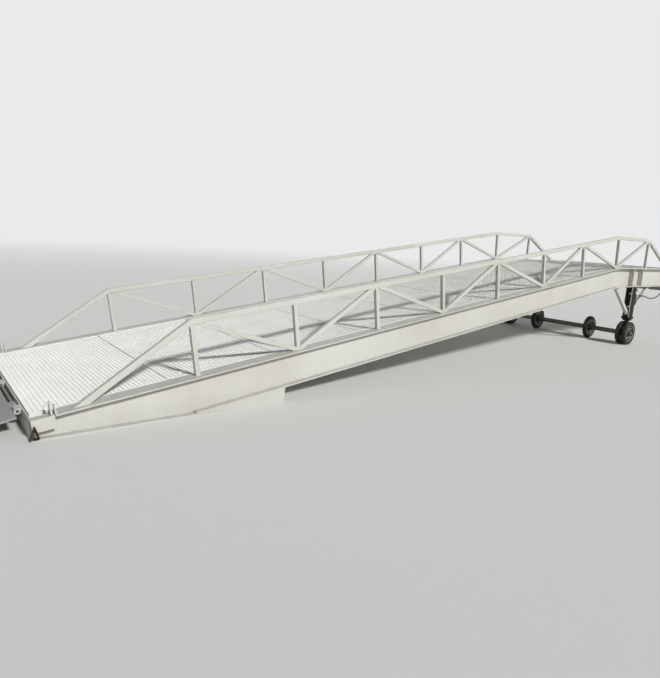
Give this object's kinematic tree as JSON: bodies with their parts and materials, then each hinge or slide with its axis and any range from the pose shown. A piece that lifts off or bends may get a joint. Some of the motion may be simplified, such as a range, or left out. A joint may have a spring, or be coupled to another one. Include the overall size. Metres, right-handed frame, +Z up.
{
  "type": "mobile yard ramp",
  "caption": "Steel yard ramp with a grating deck rising to a level platform, trussed side guards, telescopic legs on a wheeled axle, entry flap and dock lip.",
  "frame": {"origin": "on the ground, midway between the entry flap's nose and the dock lip and midway between the stringers", "axes": "+X runs up the ramp from its ground end to its dock end, +Y to the far side, +Z up"},
  "size_m": [11.2926, 2.4226, 1.7379],
  "materials": {
    "frame_paint": "light grey industrial paint, weathered satin",
    "plate_paint": "grey paint worn by tyres",
    "galvanised": "hot-dip galvanised grating",
    "leg_paint": "black paint, dusty",
    "pump_paint": "black enamel",
    "hub_paint": "black paint with worn edges",
    "tyre": "solid black rubber, dusty",
    "hose": "black hydraulic hose",
    "fitting": "zinc-plated steel",
    "bare_steel": "dark bare steel"
  },
  "bodies": {
    "ramp": {"cross_channels_incline": "frame_paint", "cross_channels_platform": "frame_paint", "flap_pin": "bare_steel", "grating_1": "galvanised", "grating_10": "galvanised", "grating_2": "galvanised", "grating_3": "galvanised", "grating_4": "galvanised", "grating_5": "galvanised", "grating_6": "galvanised", "grating_7": "galvanised", "grating_8": "galvanised", "grating_9": "galvanised", "guard_chord_far": "frame_paint", "guard_chord_near": "frame_paint", "guard_diagonals_far": "frame_paint", "guard_diagonals_near": "frame_paint", "guard_posts_far": "frame_paint", "guard_posts_near": "frame_paint", "hand_pump": "pump_paint", "high_end_plate": "frame_paint", "hose_block": "fitting", "hose_fitting": "fitting", "leg_braces_far": "frame_paint", "leg_braces_near": "frame_paint", "leg_outer_far": "leg_paint", "leg_outer_near": "leg_paint", "leg_pipe": "fitting", "lip_pin": "bare_steel", "low_end_plate": "frame_paint", "pump_hose": "hose", "shoe_far": "frame_paint", "shoe_near": "frame_paint", "stringer_flanges_far": "frame_paint", "stringer_flanges_near": "frame_paint", "stringer_web_far": "frame_paint", "stringer_web_near": "frame_paint", "tow_link_far": "bare_steel", "tow_link_near": "bare_steel", "tow_lugs_far": "frame_paint", "tow_lugs_near": "frame_paint", "tow_socket_far": "frame_paint", "tow_socket_near": "frame_paint", "web_stiffeners": "frame_paint"},
    "twin_wheels_near": {"tyre_near_twin": "tyre", "hub_near_twin": "hub_paint"},
    "inner_wheel_near": {"tyre_near_inner": "tyre", "hub_near_inner": "hub_paint"},
    "inner_wheel_far": {"tyre_far_inner": "tyre", "hub_far_inner": "hub_paint"},
    "twin_wheels_far": {"tyre_far_twin": "tyre", "hub_far_twin": "hub_paint"},
    "undercarriage": {"leg_stem_near": "leg_paint", "leg_stem_far": "leg_paint", "axle": "frame_paint"},
    "entry_flap": {"entry_flap": "plate_paint"},
    "dock_lip": {"dock_lip": "plate_paint"}
  },
  "joints": [
    {"name": "leg_slide", "type": "slide", "parent": "ramp", "child": "undercarriage", "axis": [0, 0, -1], "range_m": [0, 0.3]},
    {"name": "flap_hinge", "type": "hinge", "parent": "ramp", "child": "entry_flap", "pos_m": [-5.01853, 0, 0.12899], "axis": [0, 1, 0], "range_deg": [-10, 100]},
    {"name": "lip_hinge", "type": "hinge", "parent": "ramp", "child": "dock_lip", "pos_m": [5.62435, 0, 1.2359], "axis": [0, -1, 0], "range_deg": [0, 100]},
    {"name": "twin_wheels_near_spin", "type": "hinge", "parent": "undercarriage", "child": "twin_wheels_near", "pos_m": [3.83635, 0, 0.19], "axis": [0, 1, 0], "continuous": true},
    {"name": "inner_wheel_near_spin", "type": "hinge", "parent": "undercarriage", "child": "inner_wheel_near", "pos_m": [3.83635, 0, 0.19], "axis": [0, 1, 0], "continuous": true},
    {"name": "inner_wheel_far_spin", "type": "hinge", "parent": "undercarriage", "child": "inner_wheel_far", "pos_m": [3.83635, 0, 0.19], "axis": [0, 1, 0], "continuous": true},
    {"name": "twin_wheels_far_spin", "type": "hinge", "parent": "undercarriage", "child": "twin_wheels_far", "pos_m": [3.83635, 0, 0.19], "axis": [0, 1, 0], "continuous": true}
  ]
}
